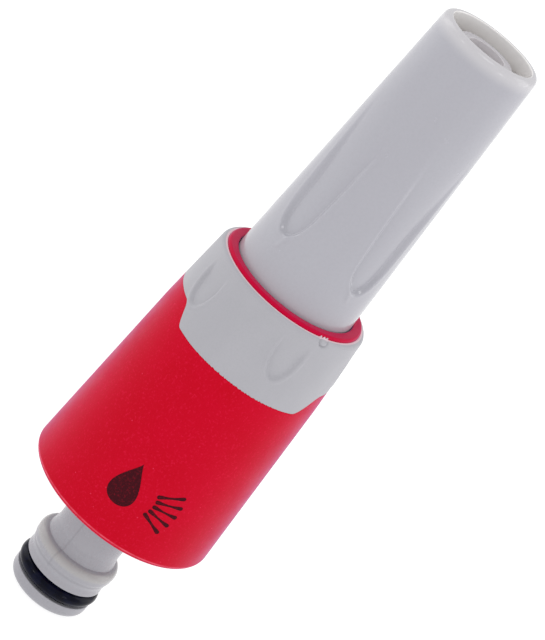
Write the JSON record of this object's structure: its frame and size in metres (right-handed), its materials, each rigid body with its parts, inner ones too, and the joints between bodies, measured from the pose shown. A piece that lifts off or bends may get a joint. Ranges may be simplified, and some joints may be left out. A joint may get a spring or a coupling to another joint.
{
  "type": "adjustable garden hose spray nozzle",
  "caption": "Adjustable twist spray nozzle for a garden hose: red grip with soft grey collar, tapered fluted barrel, and a quick-connect plug with an O-ring at the inlet.",
  "frame": {"origin": "centre of the plug's end face, which is the lowest face and the one the part stands on", "axes": "+Z along the water path from the plug to the mouth; -Y is the front, the side with the printed mark"},
  "size_m": [0.0366, 0.0366, 0.13],
  "materials": {
    "grey_plastic": "light grey moulded plastic, satin",
    "grey_soft_grip": "light grey soft-touch rubber, matt",
    "red_plastic": "red moulded plastic, finely speckled satin",
    "inner_plastic": "grey moulded plastic, plain",
    "white_plastic": "natural white low-friction plastic",
    "seal_rubber": "near-black greased rubber, glossy"
  },
  "bodies": {
    "grip": {"inlet_plug": "grey_plastic", "plug_o_ring": "seal_rubber", "core_gasket": "seal_rubber", "grip_shell": "red_plastic", "grip_collar": "grey_soft_grip", "stem_lock_nut": "inner_plastic", "core_stem": "inner_plastic", "core_o_ring": "seal_rubber", "pintle": "white_plastic", "pintle_o_ring": "seal_rubber"},
    "gland": {"gland_o_ring": "seal_rubber"},
    "barrel": {"thread_bush": "white_plastic", "nozzle_tube": "grey_plastic", "barrel_shell": "grey_plastic"}
  },
  "joints": [
    {"name": "barrel_travel", "type": "slide", "parent": "grip", "child": "gland", "axis": [0, 0, 1], "range_m": [-0.003, 0.005]},
    {"name": "barrel_twist", "type": "hinge", "parent": "gland", "child": "barrel", "pos_m": [0, 0, 0.09], "axis": [0, 0, 1], "range_deg": [-135, 225]}
  ],
  "couplings": [
    {"joint": "barrel_travel", "follows": "barrel_twist", "m_per_rad": 0.001273}
  ]
}
